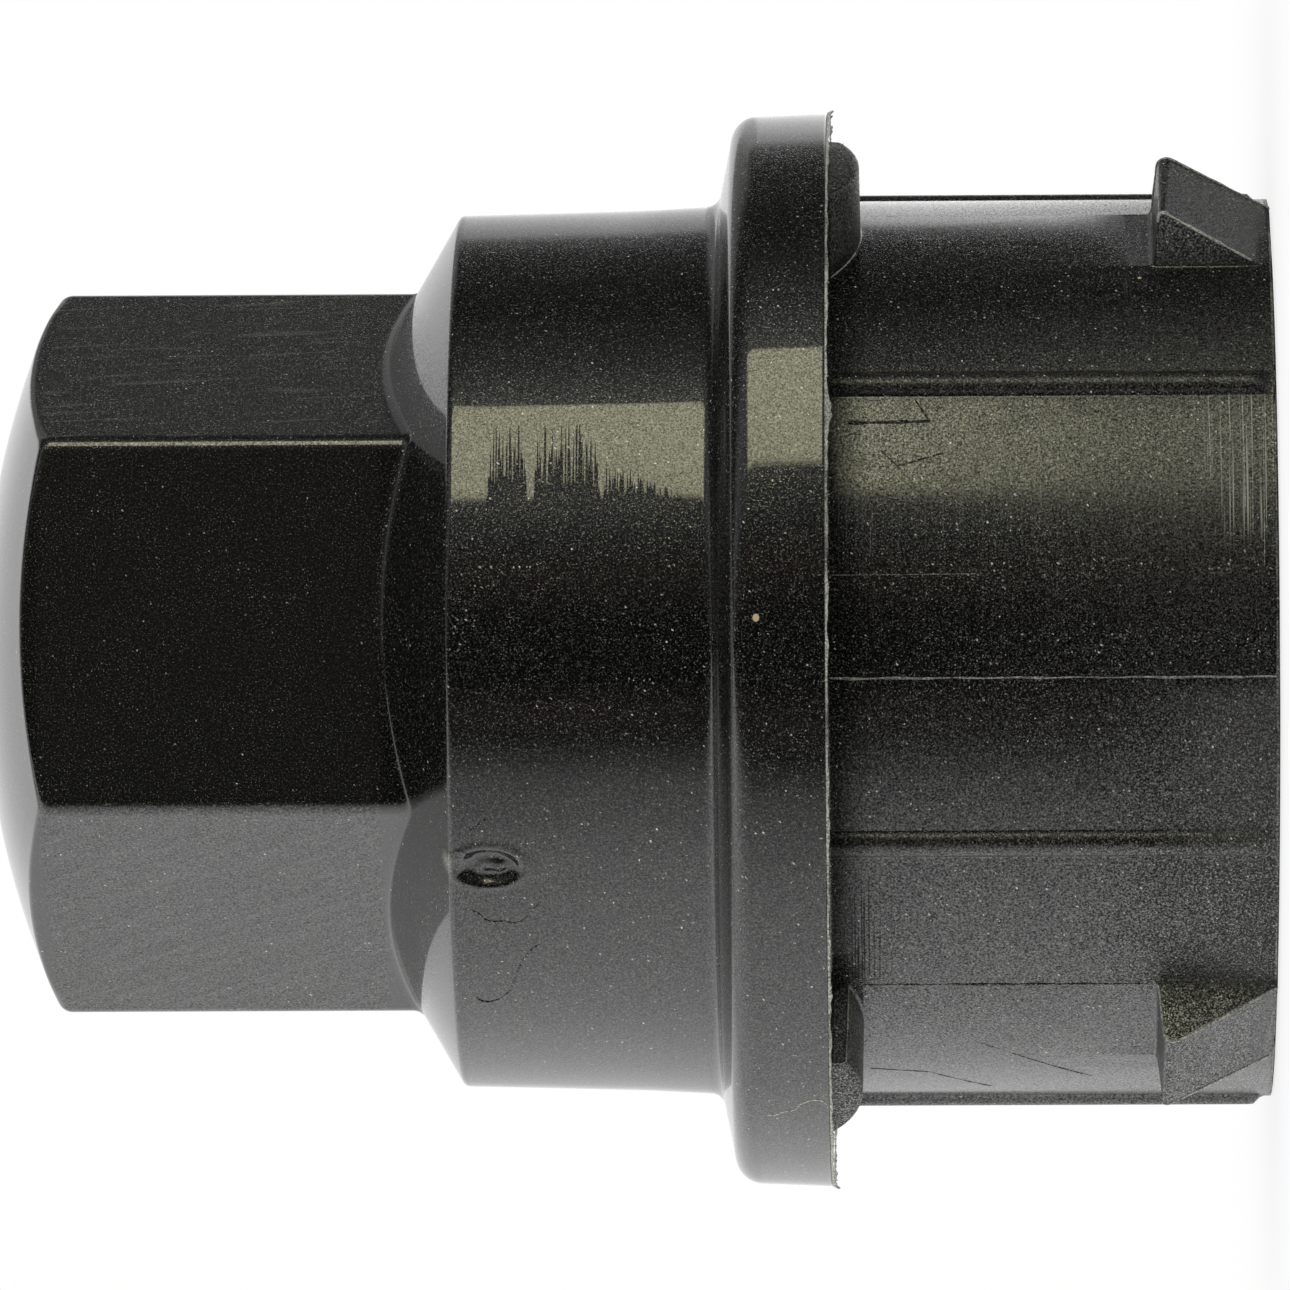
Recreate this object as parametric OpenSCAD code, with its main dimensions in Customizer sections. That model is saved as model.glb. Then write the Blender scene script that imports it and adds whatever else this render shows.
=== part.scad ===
// Wheel nut cover cap, moulded in one piece. It screws over the outer thread of a wheel nut and
// holds a wheel trim between the lugs under its flange and the three hooks near its rim.
// Millimetres. The axis is Z, the open rim lies at Z = 0 and the domed hexagon head points up.

/* [Head] */
// Height of the whole cap, from the rim to the top of the dome
cap_h = 45; // [44:0.5:48]
// Hexagon across its flats, which a socket turns
hex_af = 22; // [21:0.5:23]
// Radius along the six upright corners of the hexagon
hex_corner_r = 0.45; // [0.3:0.05:0.8]
// Radius of the domed top
dome_r = 30; // [26:1:36]
// Radius of the turned edge where the dome runs down over the corners
dome_edge_r = 1; // [0.6:0.1:1.4]

/* [Shoulder and barrel] */
// Height of the shoulder's outer edge above the rim
shoulder_z = 28.15; // [27.6:0.1:28.8]
// Angle between the shoulder cone and the axis
shoulder_angle = 60; // [55:1:65]
// Radius of the edge between shoulder and barrel
shoulder_edge_r = 0.3; // [0.2:0.05:0.6]
// Diameter of the barrel at the shoulder
barrel_top_d = 30.5; // [30.3:0.1:30.9]
// Diameter of the barrel at the flange
barrel_foot_d = 31; // [30.9:0.1:31.4]

/* [Flange] */
// Height of the flange's underside above the rim
flange_z = 15.3; // [14.5:0.1:16]
// Thickness of the flange where it leaves the barrel
flange_t = 3.85; // [3.4:0.05:4.2]
// Diameter of the flange at its underside
flange_d = 37.6; // [37:0.1:38.5]
// Draft of the flange's outer wall
flange_draft = 3; // [0:0.5:4]
// Fall of the flange's upper face, away from the barrel
flange_slant = 11; // [6:0.5:13]
// Radius of the flange's upper edge
flange_edge_r = 1; // [0.6:0.1:1.3]
// Radius in the corner between flange and barrel
flange_root_r = 0.4; // [0.2:0.05:0.6]

/* [Skirt] */
// Diameter of the skirt below the flange
skirt_d = 31.36; // [31.2:0.02:31.6]
// Bevel around the outer edge of the rim
rim_bevel = 0.12; // [0.05:0.01:0.2]

/* [Centring ribs] */
// Number of ribs along the skirt, one under each corner of the hexagon
rib_n = 6; // [3:3:6]
// Height of a rib above the skirt
rib_h = 0.32; // [0.2:0.02:0.4]
// Width of a rib at the skirt
rib_w = 0.84; // [0.7:0.02:1]
// Distance from the rim to the end of a rib
rib_end_z = 0.3; // [0.2:0.05:1]
// Length of the tapered end of a rib
rib_taper = 0.4; // [0.2:0.05:0.8]

/* [Hooks] */
// Number of hooks around the skirt, and of lugs above them
hook_n = 3; // [1:1:3]
// Height of the hook's catch face above the rim, where it leaves the skirt
hook_z = 4.1; // [3.8:0.1:4.6]
// Height of the crest above the skirt
hook_h = 1.9; // [1.4:0.05:2.2]
// Width of a hook at the skirt
hook_w = 4.5; // [3.6:0.1:5]
// Fall of the catch face towards the crest
hook_catch_slant = 5; // [0:0.5:18]
// Angle between the ramp and the axis
hook_ramp_angle = 30.5; // [29:0.1:33]
// Radius of the crest
hook_crest_r = 0.3; // [0.15:0.05:0.5]
// Turn of the ramp away from the radius, towards the pull of the mould's slide
hook_skew = 4; // [0:0.5:6]
// Draft of the hook's side that faces the pull of the slide
hook_draft_pull = 2.5; // [0:0.5:5]
// Draft of the hook's side at the parting line
hook_draft_parting = 8; // [0:0.5:10]

/* [Lugs] */
// Distance that a lug stands out of the flange's underside
lug_out = 1.09; // [0.8:0.01:1.4]
// Width of a lug along the flange's underside
lug_w = 6; // [4:0.1:7]
// Diameter over the lugs
lug_d = 37.1; // [36:0.1:37]

/* [Inside] */
// Diameter of the bore at the root of its thread, for an M27 nut with clearance
thread_d = 27.2; // [27.1:0.02:27.4]
// Wall of the head, the dome and the shoulder
wall = 2.2; // [1.8:0.1:2.4]
// Bevel around the mouth of the bore
mouth_bevel = 0.6; // [0.3:0.05:0.9]

/* [Hidden] */
$fn = 96;

// Height of the rounded cuts that pass right through, and depth of the roots that join a feature
over = 1;
root = 0.4;

hex_flat_r = hex_af / 2;
hex_corner_axis_r = (hex_flat_r - hex_corner_r) / cos(30);
hex_tip_r = hex_corner_axis_r + hex_corner_r;
dome_centre_z = cap_h - dome_r;

barrel_top_r = barrel_top_d / 2;
barrel_foot_r = barrel_foot_d / 2;
skirt_r = skirt_d / 2;

flange_rear_r = flange_d / 2;
flange_top_z = flange_z + flange_t;
flange_front_r = flange_rear_r - flange_t * tan(flange_draft);

rib_round_r = (pow(rib_w / 2, 2) + pow(rib_h, 2)) / (2 * rib_h);
rib_axis_r = skirt_r + rib_h - rib_round_r;

hook_crest_x = skirt_r + hook_h - hook_crest_r;
hook_crest_z = catch_z(hook_crest_x) - hook_crest_r / cos(hook_catch_slant);

lug_round_r = (pow(lug_w / 2, 2) + pow(lug_out, 2)) / (2 * lug_out);

thread_r = thread_d / 2;
pocket_r = hex_flat_r - wall;

// The first hook points along +Y, and the others follow at equal steps
first_hook_angle = 90;

// Points along an arc about a centre, from one angle to another
function arc(centre, r, from, to, steps = 8) =
    [for (i = [0:steps]) let (a = from + (to - from) * i / steps) centre + r * [cos(a), sin(a)]];

// Height of the shoulder cone at radius r
function shoulder_at(r) = shoulder_z + (barrel_top_r - r) / tan(shoulder_angle);

// Height of the inner shoulder, one wall under the outer one
function inner_shoulder_at(r) = shoulder_at(r) - wall / sin(shoulder_angle);

// Height of the flange's upper face at radius r
function flange_top_at(r) = flange_top_z - (r - barrel_foot_r) * tan(flange_slant);

// Height of the dome at radius r
function dome_at(r) = dome_centre_z + sqrt(dome_r * dome_r - r * r);

// Height of a hook's catch face at distance x from the axis
function catch_z(x) = hook_z - (x - skirt_r) * tan(hook_catch_slant);

// Outline of the hexagon with its rounded corners
module hex_outline() {
    polygon([
        for (corner = [0:60:300])
            each arc(hex_corner_axis_r * [cos(corner), sin(corner)], hex_corner_r,
                     corner - 30, corner + 30, 4)
    ]);
}

// Turned form that trims the hexagon: the dome, run down over the corners by a small radius
module dome_form() {
    edge_r = hex_tip_r + 0.05;
    edge_axis_r = edge_r - dome_edge_r;
    lean = asin(edge_axis_r / (dome_r - dome_edge_r));
    edge_axis_z = dome_centre_z + (dome_r - dome_edge_r) * cos(lean);
    rotate_extrude()
        polygon(concat(
            [[0, shoulder_z], [edge_r, shoulder_z]],
            arc([edge_axis_r, edge_axis_z], dome_edge_r, 0, 90 - lean, 6),
            arc([0, dome_centre_z], dome_r, 90 - lean, 90, 12)));
}

module head() {
    intersection() {
        translate([0, 0, shoulder_z - over])
            linear_extrude(cap_h - shoulder_z + 2 * over)
                hex_outline();
        dome_form();
    }
}

// Skirt, flange, barrel and shoulder, turned as one profile
module turned_body() {
    edge_axis_r = flange_front_r - flange_edge_r;
    edge_axis_z = flange_top_at(edge_axis_r) - flange_edge_r / cos(flange_slant);
    root_axis_r = barrel_foot_r + flange_root_r;
    root_axis_z = flange_top_at(root_axis_r) + flange_root_r / cos(flange_slant);
    turn = 90 - shoulder_angle;
    shoulder_axis_r = barrel_top_r - shoulder_edge_r;
    shoulder_axis_z = shoulder_at(shoulder_axis_r) - shoulder_edge_r / sin(shoulder_angle);
    hidden_r = hex_flat_r - over;
    // Turned so that its seam lies between a rib and a hook
    rotate(15)
        rotate_extrude()
            polygon(concat(
                [[0, 0], [skirt_r - rim_bevel, 0], [skirt_r, rim_bevel], [skirt_r, flange_z]],
                [[flange_rear_r, flange_z]],
                arc([edge_axis_r, edge_axis_z], flange_edge_r, 0, 90 - flange_slant),
                arc([root_axis_r, root_axis_z], flange_root_r, 270 - flange_slant, 180, 5),
                arc([shoulder_axis_r, shoulder_axis_z], shoulder_edge_r, 0, 90 - turn, 4),
                [[hidden_r, shoulder_at(hidden_r)], [0, shoulder_at(hidden_r)]]));
}

// Round-backed rib with a tapered end near the rim, turned so that its seam lies inside the skirt
module rib() {
    rib_top_z = flange_z + root;
    translate([rib_axis_r, 0, 0])
        rotate(180)
            rotate_extrude($fn = 32)
                polygon([
                    [0, rib_end_z], [rib_round_r - rib_h, rib_end_z],
                    [rib_round_r, rib_end_z + rib_taper], [rib_round_r, rib_top_z], [0, rib_top_z]
                ]);
}

// Side view of a hook: catch face, rounded crest and the ramp, which the rim's plane cuts off
module hook_section() {
    root_x = skirt_r - root;
    ramp_top = [hook_crest_x, hook_crest_z]
        + hook_crest_r * [cos(hook_ramp_angle), -sin(hook_ramp_angle)];
    ramp_root_z = ramp_top[1] - (ramp_top[0] - root_x) / tan(hook_ramp_angle);
    rotate([90, 0, 0])
        linear_extrude(2 * hook_w, center = true)
            polygon(concat(
                [[root_x, ramp_root_z]],
                arc([hook_crest_x, hook_crest_z], hook_crest_r,
                    -hook_ramp_angle, 90 - hook_catch_slant, 6),
                [[root_x, catch_z(root_x)]]));
}

// Plan view of a hook: it narrows outwards by the draft of each side
module hook_plan() {
    tip = hook_h + over;
    pull_side = hook_w / 2;
    parting_side = hook_w / 2;
    linear_extrude(hook_z + over)
        polygon([
            [skirt_r - root, -pull_side - root * tan(hook_draft_pull)],
            [skirt_r + tip, -pull_side + tip * tan(hook_draft_pull)],
            [skirt_r + tip, parting_side - tip * tan(hook_draft_parting)],
            [skirt_r - root, parting_side + root * tan(hook_draft_parting)]
        ]);
}

module hook() {
    intersection() {
        rotate(-hook_skew)
            hook_section();
        hook_plan();
    }
}

// Lug under the flange: its free edge is an arc, and its outer face follows the flange
module lug() {
    intersection() {
        translate([skirt_r - root, 0, flange_z - lug_out + lug_round_r])
            rotate([0, 90, 0])
                cylinder(r = lug_round_r, h = flange_rear_r - skirt_r);
        translate([0, 0, flange_z - lug_out - over])
            cylinder(r = lug_d / 2, h = lug_out + over + root);
    }
}

// Bore for the nut, inner shoulder, and the pocket for the stud's end under the dome
module cavity() {
    rotate_extrude()
        polygon([
            [0, -over],
            [thread_r + mouth_bevel + over, -over],
            [thread_r, mouth_bevel],
            [thread_r, inner_shoulder_at(thread_r)],
            [pocket_r, inner_shoulder_at(pocket_r)],
            [pocket_r, inner_shoulder_at(pocket_r) + over],
            [0, inner_shoulder_at(pocket_r) + over]
        ]);
    intersection() {
        translate([0, 0, inner_shoulder_at(pocket_r)])
            cylinder(r = pocket_r, h = cap_h - inner_shoulder_at(pocket_r));
        translate([0, 0, dome_centre_z])
            sphere(r = dome_r - wall);
    }
}

module cap() {
    color("#1b1b1c")
        difference() {
            union() {
                head();
                turned_body();
                for (i = [0:rib_n - 1])
                    rotate(i * 360 / rib_n)
                        rib();
                for (i = [0:hook_n - 1])
                    rotate(first_hook_angle + i * 360 / hook_n) {
                        hook();
                        lug();
                    }
            }
            cavity();
        }
}

cap();
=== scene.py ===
"""Looks of a moulded wheel nut cover cap. Lengths in this script are millimetres unless a name says
otherwise, and are turned into metres where an object is made."""
import math

import bpy
import numpy as np
from mathutils import Matrix, Vector


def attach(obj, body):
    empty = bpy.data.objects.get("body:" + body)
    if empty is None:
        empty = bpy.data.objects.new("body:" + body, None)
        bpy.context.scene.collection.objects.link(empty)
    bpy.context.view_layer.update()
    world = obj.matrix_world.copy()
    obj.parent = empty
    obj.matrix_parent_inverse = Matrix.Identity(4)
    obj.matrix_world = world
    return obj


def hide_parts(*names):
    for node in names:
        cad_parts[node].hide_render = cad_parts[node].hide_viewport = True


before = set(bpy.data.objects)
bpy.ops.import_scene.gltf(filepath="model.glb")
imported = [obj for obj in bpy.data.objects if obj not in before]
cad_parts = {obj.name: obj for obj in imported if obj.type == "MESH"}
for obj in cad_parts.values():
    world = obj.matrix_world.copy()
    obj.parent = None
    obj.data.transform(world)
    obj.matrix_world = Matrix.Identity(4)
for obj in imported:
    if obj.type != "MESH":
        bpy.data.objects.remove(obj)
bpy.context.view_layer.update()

MM = 0.001
SEED = 41

# Sizes of the cap, which are the solid's or close to them: the ribs and the hexagon's rounded
# corners are a little wider, and the barrel has a slight waist
CAP_H = 45.0
HEX_FLAT_R = 11.0
HEX_CORNER_R = 0.6
DOME_R = 30.0
SHOULDER_Z = 28.15
SHOULDER_ANGLE = 60.0
# Where the rows of the head meet those of the barrel, on the shoulder
SHOULDER_SPLIT_R = 14.55
BARREL_TOP_R = 15.25
BARREL_BEND_R = 15.32
BARREL_BEND_Z = 25.3
BARREL_WAIST_R = 15.42
BARREL_WAIST_Z = 21.7
BARREL_FOOT_R = 15.56
FLANGE_Z = 15.3
FLANGE_T = 3.85
FLANGE_REAR_R = 18.8
FLANGE_FRONT_R = 18.6
FLANGE_SLANT = 11.0
FLANGE_DRAFT = 3.0
# How far down the rows of the flange's underside reach, past the lugs
UNDERSIDE_H = 1.6
SKIRT_R = 15.68
RIM_BEVEL = 0.12
RIB_H = 0.32
RIB_W = 0.96
RIB_END_Z = 0.3
RIB_TAPER = 0.4
HOOK_Z = 4.1
HOOK_W = 4.5
HOOK_CATCH_SLANT = 5.0
HOOK_ROOT_R = 0.28
HOOK_SECTOR_HALF_W = 3.3
# Where a hook's ramp would meet the rim's plane, how steeply it rises and how its crest is
# rounded, at its two edges
HOOK_PULL_EDGE = (15.44, 0.59, 0.15)
HOOK_PARTING_EDGE = (15.72, 0.58, 0.33)
HOOK_DRAFT_PULL = 2.5
HOOK_DRAFT_PARTING = 8.0
# One of the hooks stands a little askew
HOOK_LEANS = {330: 0.3}
LUG_R = 18.55
# How far a lug hangs below the flange and the radius of its round, at its outer face and its root
LUG_OUT = 1.1
LUG_OUT_ROUND_R = 3.52
LUG_ROOT_OUT = 1.14
LUG_ROOT_ROUND_R = 4.6
# Degrees from a lug's middle to its edges, at the skirt and at its outer face
LUG_FROM = -11.5
LUG_TO = 8.0
LUG_OUT_FROM = -8.6
LUG_OUT_TO = 5.6
THREAD_R = 13.6
THREAD_DEPTH = 1.08
THREAD_PITCH = 2.0
THREAD_FROM = 1.6
THREAD_TO = 24.2
WALL = 2.2
MOUTH_BEVEL = 0.6

# Where things lie around the axis, in degrees from +X
CORNERS = range(0, 360, 60)
HOOKS = [90, 210, 330]
# The camera looks at the cap from here, and the picture's up is a quarter turn further
CAMERA_AZIMUTH = -95.0
GATE_AZIMUTH = CAMERA_AZIMUTH - 28.85
GATE_Z = 26.9
# Half the gate mark's length along the axis and half its width
GATE_HALF_L = 1.2
GATE_HALF_W = 0.7
PARTING_FLASHES = [CAMERA_AZIMUTH - 3.6 + 120 * k for k in range(3)]
PARTING_CREASES = [CAMERA_AZIMUTH - 47.0 + 120 * k for k in range(3)]
# Where the flange's flash sticks out most, and how wide that is
FLASH_SWELLS = [(CAMERA_AZIMUTH + 26, 5), (CAMERA_AZIMUTH + 84, 7), (CAMERA_AZIMUTH - 86, 9),
                (CAMERA_AZIMUTH + 175, 12)]


rad = math.radians


def around(azimuth, r, z):
    """A point at an azimuth in degrees."""
    return (r * math.cos(rad(azimuth)), r * math.sin(rad(azimuth)), z)


TOWARDS_CAMERA = Vector(around(CAMERA_AZIMUTH, 1, 0))
PICTURE_UP = Vector(around(CAMERA_AZIMUTH + 90, 1, 0))
AXIS_UP = Vector((0, 0, 1))


def xyz(x, y, z):
    """Points from arrays or numbers."""
    return np.stack(np.broadcast_arrays(x, y, z), -1)


def polar(r, angles, z):
    return xyz(r * np.cos(angles), r * np.sin(angles), z)


def turned(points, azimuth):
    c, s = math.cos(rad(azimuth)), math.sin(rad(azimuth))
    x, y = points[..., 0], points[..., 1]
    return xyz(x * c - y * s, x * s + y * c, points[..., 2])


def wrapped(angle, period):
    """The same angle between minus and plus half a period."""
    return (angle + period / 2) % period - period / 2


# Paths and grids

def rounded_path(corners, radii, arc_steps, run_steps, hold=0.05):
    """Points through corners, each one rounded, for many paths at once.

    corners is a list of (n, 3) arrays, radii and arc_steps have a value for each inner corner and
    run_steps one for each stretch between corners. Straight stretches get a point close to each
    end, at the distance hold, so that shading doesn't bleed out of the rounded corners.
    """
    points = [np.asarray(c, float) for c in corners]
    lengths = [np.linalg.norm(b - a, axis=1, keepdims=True) for a, b in zip(points, points[1:])]
    ways = [(b - a) / np.maximum(l, 1e-9) for a, b, l in zip(points, points[1:], lengths)]
    rows = [points[0]]
    last = points[0]
    for i in range(1, len(points)):
        inner = i < len(points) - 1
        start = points[i]
        if inner:
            before, after = ways[i - 1], ways[i]
            cosine = np.clip((before * after).sum(1, keepdims=True), -1, 1)
            turn = np.maximum(np.arccos(cosine), 1e-4)
            cut = np.reshape(radii[i - 1], (-1, 1)) * np.tan(turn / 2)
            cut = np.minimum(cut, 0.45 * np.minimum(lengths[i - 1], lengths[i]))
            start = start - before * cut
        run = np.linalg.norm(start - last, axis=1, keepdims=True)
        steps = run_steps[i - 1]
        near = np.minimum(hold, run / (2 * steps + 2)) / np.maximum(run, 1e-9)
        rows.append(last + (start - last) * near)
        rows += [last + (start - last) * k / steps for k in range(1, steps)]
        rows += [start - (start - last) * near, start]
        last = start
        if inner:
            radius = cut / np.tan(turn / 2)
            side = (after - before * np.cos(turn)) / np.sin(turn)
            for k in range(1, arc_steps[i - 1] + 1):
                at = turn * k / arc_steps[i - 1]
                rows.append(start + radius * (np.sin(at) * before + (1 - np.cos(at)) * side))
            last = rows[-1]
    return np.array(rows)


def meridian(*corners):
    """Corners (r, z) of a profile, each a number or an array over the columns, as 3-D points."""
    n = max(np.size(v) for c in corners for v in c)
    return [xyz(np.broadcast_to(r, n), 0.0, z) for r, z in corners]


def spin(path, angles):
    """Turns points (rows, columns, 3) of a profile to their columns' angles, in radians."""
    return polar(path[..., 0], angles, path[..., 2])


def smooth(x):
    x = np.clip(x, 0, 1)
    return x * x * (3 - 2 * x)


def quads(rows, cols, close_rows=False, close_cols=True):
    """Faces of a grid of points that are numbered row by row."""
    index = np.arange(rows * cols).reshape(rows, cols)
    after = np.roll(index, -1, axis=1)
    if close_rows:
        index, after = (np.vstack([a, a[:1]]) for a in (index, after))
    if not close_cols:
        index, after = index[:, :-1], after[:, :-1]
    return np.stack([index[:-1], index[1:], after[1:], after[:-1]], -1).reshape(-1, 4).tolist()


def add_object(name, data):
    made = bpy.data.objects.new(name, data)
    bpy.context.scene.collection.objects.link(made)
    return made


def mesh_object(name, points, faces, traits=None):
    """An object from points in mm. With traits, values of each point that the material reads, it
    is shaded smooth."""
    mesh = bpy.data.meshes.new(name)
    mesh.from_pydata((np.asarray(points) * MM).tolist(), [], faces)
    for key, values in (traits or {}).items():
        layer = mesh.attributes.new(key, "FLOAT", "POINT")
        layer.data.foreach_set("value", values.astype(np.float32))
    if traits:
        mesh.polygons.foreach_set("use_smooth", [True] * len(mesh.polygons))
    mesh.update()
    return add_object(name, mesh)


# Forms of the cap

def dome_at(r, wall=0.0):
    return CAP_H - DOME_R + np.sqrt((DOME_R - wall) ** 2 - r ** 2)


def shoulder_at(r, wall=0.0):
    return (SHOULDER_Z + (BARREL_TOP_R - r) / math.tan(rad(SHOULDER_ANGLE))
            - wall / math.sin(rad(SHOULDER_ANGLE)))


def flange_top_at(r):
    return FLANGE_Z + FLANGE_T - (r - BARREL_FOOT_R) * math.tan(rad(FLANGE_SLANT))


def hook_edge(foot_x, slope, crest_r, lean=0.0):
    """Rows (x, z) down one edge of a hook: skirt, root fillet, catch face, crest and ramp.

    The ramp leaves the rim's plane at the distance foot_x, or starts lean higher.
    """
    catch = math.tan(rad(HOOK_CATCH_SLANT))
    skirt_x = math.sqrt(SKIRT_R ** 2 - (HOOK_W / 2) ** 2)
    apex_x = (foot_x + slope * (HOOK_Z - lean + skirt_x * catch)) / (1 + slope * catch)
    apex_z = HOOK_Z - (apex_x - skirt_x) * catch
    corners = meridian((skirt_x, HOOK_Z + 0.95), (skirt_x, HOOK_Z), (apex_x, apex_z),
                       (foot_x - slope * lean, 0.0))
    path = rounded_path(corners, [HOOK_ROOT_R, crest_r], [5, 7], [3, 6, 16], hold=0.04)[:, 0]
    return path[:, 0], path[:, 2]


def hook_sector(lean=0.0, at_rest=False):
    """Points of the strip of skirt that carries a hook, and the rows along its two upper edges.

    With at_rest, the same columns lie on the plain skirt.
    """
    pull_x, pull_z = hook_edge(*HOOK_PULL_EDGE, lean)
    part_x, part_z = hook_edge(*HOOK_PARTING_EDGE)
    edge, near, out = HOOK_W / 2, HOOK_W / 2 + 0.07, HOOK_SECTOR_HALF_W

    def on_skirt(t):
        return np.sqrt(SKIRT_R ** 2 - np.square(t))

    edge_x = on_skirt(edge)
    pull_t = -edge + np.maximum(pull_x - edge_x, 0) * math.tan(rad(HOOK_DRAFT_PULL))
    part_t = edge - np.maximum(part_x - edge_x, 0) * math.tan(rad(HOOK_DRAFT_PARTING))
    pull_x = np.maximum(pull_x, edge_x + 0.001)
    part_x = np.maximum(part_x, edge_x + 0.001)
    if at_rest:
        pull_x, part_x = on_skirt(pull_t), on_skirt(part_t)
    corners = [xyz(on_skirt(out), -out, part_z), xyz(on_skirt(near), -near, pull_z),
               xyz(pull_x, pull_t, pull_z), xyz(part_x, part_t, part_z),
               xyz(on_skirt(near), near, part_z), xyz(on_skirt(out), out, part_z)]
    path = rounded_path(corners, [0.1, 0.07, 0.07, 0.1], [2, 3, 3, 2], [1, 2, 3, 2, 1], hold=0.04)
    return path.transpose(1, 0, 2), corners[2], corners[3]


def rib_points(scale):
    """Columns (x, t) across a rib and the skirt beside it, with its height times scale."""
    round_r = ((RIB_W / 2) ** 2 + RIB_H ** 2) / (2 * RIB_H)
    axis_r = SKIRT_R + RIB_H - round_r
    foot = math.asin(RIB_W / 2 / round_r)
    beside = [RIB_W / 2 + out for out in (0.3, 0.1, 0.04)]
    turns = np.linspace(-foot, foot, 9)
    t = np.concatenate([-np.array(beside), round_r * np.sin(turns), np.array(beside[::-1])])
    skirt = np.sqrt(SKIRT_R ** 2 - t ** 2)
    bump = np.zeros(len(t))
    bump[3:-3] = axis_r + round_r * np.cos(turns) - skirt[3:-3]
    return skirt + np.maximum(bump, 0) * scale, t


def hex_corner_points():
    """Points (x, t) round a corner of the hexagon, as many as across a rib."""
    axis = (HEX_FLAT_R - HEX_CORNER_R) / math.cos(rad(30))
    turns = np.radians(np.linspace(-30, 30, 9))
    x = axis + HEX_CORNER_R * np.cos(turns)
    t = HEX_CORNER_R * np.sin(turns)
    run = np.array([0.9, 0.35, 0.06])
    fall, out = run * math.sin(rad(30)), run * math.cos(rad(30))
    x = np.concatenate([x[0] - fall, x, x[-1] - fall[::-1]])
    t = np.concatenate([t[0] - out, t, t[-1] + out[::-1]])
    return x, t


def even(start, end, count):
    return np.linspace(start, end, count + 2)[1:-1].tolist()


class Columns:
    """The columns of the grid, and where they lie at the hexagon, the lugs and the hooks."""

    def __init__(self):
        rest, _, _ = hook_sector(at_rest=True)
        self.levels = rest[:, 0, 2]
        self.hook_width = rest.shape[1]
        hex_x, hex_t = hex_corner_points()
        _, rib_t = rib_points(1.0)
        rib_turn = np.degrees(np.arctan2(rib_t, SKIRT_R))
        hex_turn = np.degrees(np.arctan2(hex_t, hex_x))
        rest_turn = np.degrees(np.arctan2(rest[0, :, 1], rest[0, :, 0]))
        # Across a lug: outside it, along its round, down its flat side, and outside again
        inner, outer, share = self.lug_columns()
        names = ("hexagon", "plain", "lug_out", "lug", "hook")
        found = {name: [] for name in names}
        depths, self.ribs, self.hook_slices = [], [], []
        for corner in CORNERS:
            start = len(depths)
            self.ribs.append(slice(start, start + len(hex_t)))
            found["hexagon"] += list(corner + hex_turn)
            for name in names[1:]:
                found[name] += list(corner + rib_turn)
            depths += [0.0] * len(hex_t)
            middle = corner + 30
            hex_ends = corner + hex_turn[-1], corner + 60 + hex_turn[0]
            rib_ends = corner + rib_turn[-1], corner + 60 + rib_turn[0]
            if middle not in HOOKS:
                found["hexagon"] += even(*hex_ends, 13)
                for name in names[1:]:
                    found[name] += even(*rib_ends, 13)
                depths += [0.0] * 13
                continue
            # More columns at the gate mark
            gate = abs(wrapped(GATE_AZIMUTH - middle, 360) - 25) < 15
            before_n, after_n = 7, 34 if gate else 7
            place = start + len(hex_t) + before_n
            self.hook_slices.append((middle, slice(place, place + self.hook_width)))
            for name, across in (("lug_out", outer), ("lug", inner), ("hook", rest_turn)):
                found[name] += [*even(rib_ends[0], middle + across[0], before_n),
                                *(middle + across),
                                *even(middle + across[-1], rib_ends[1], after_n)]
            depths += [0.0] * before_n + list(share) + [0.0] * after_n
            wide = before_n + self.hook_width
            for name, (first, last), split in (("plain", rib_ends, middle + 17),
                                               ("hexagon", hex_ends, middle + 15)):
                found[name] += (even(first, split, wide) + even(split, last, after_n) if gate
                                else even(first, last, wide + after_n))
        for name in names:
            setattr(self, name, np.radians(found[name]))
        self.lug_share = np.array(depths)
        self.n = len(depths)

    def lug_columns(self):
        """Offsets of a lug's columns at the skirt and at its outer face, and the share of the
        lug's depth that each one has."""
        wall = [1.0, 1.0, 0.66, 0.33, 0.0]
        arc_n = self.hook_width - len(wall) - 4
        inner = np.concatenate([[LUG_FROM - 1.2, LUG_FROM - 0.1],
                                np.linspace(LUG_FROM, LUG_TO - 0.12, arc_n),
                                LUG_TO + 0.04 * np.arange(len(wall)), [LUG_TO + 0.3, LUG_TO + 1.5]])
        outer = LUG_OUT_FROM + (inner - LUG_FROM) * (LUG_OUT_TO - LUG_OUT_FROM) / (LUG_TO - LUG_FROM)
        share = np.array([0.0, 0.0] + [1.0] * arc_n + wall + [0.0, 0.0])
        return inner, outer, share


def hexagon_radius(angles):
    """Distance from the axis to the hexagon's outline, its corners rounded."""
    turn = wrapped(angles, math.pi / 3)
    flat = HEX_FLAT_R / np.cos(math.pi / 6 - np.abs(turn))
    axis = (HEX_FLAT_R - HEX_CORNER_R) / math.cos(math.pi / 6)
    root = np.maximum(HEX_CORNER_R ** 2 - (axis * np.sin(turn)) ** 2, 0)
    rounded = axis * np.cos(turn) + np.sqrt(root)
    arc_end = HEX_CORNER_R * math.sin(math.pi / 6)
    on_arc = np.abs(rounded * np.sin(turn)) < arc_end + 1e-6
    return np.where(on_arc, np.minimum(rounded, flat), flat)


def turning(start, end, rows):
    """Columns' angles that pass from one layout to another over a number of rows."""
    at = smooth(np.linspace(0, 1, rows))[:, None]
    return start * (1 - at) + end * at


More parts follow.
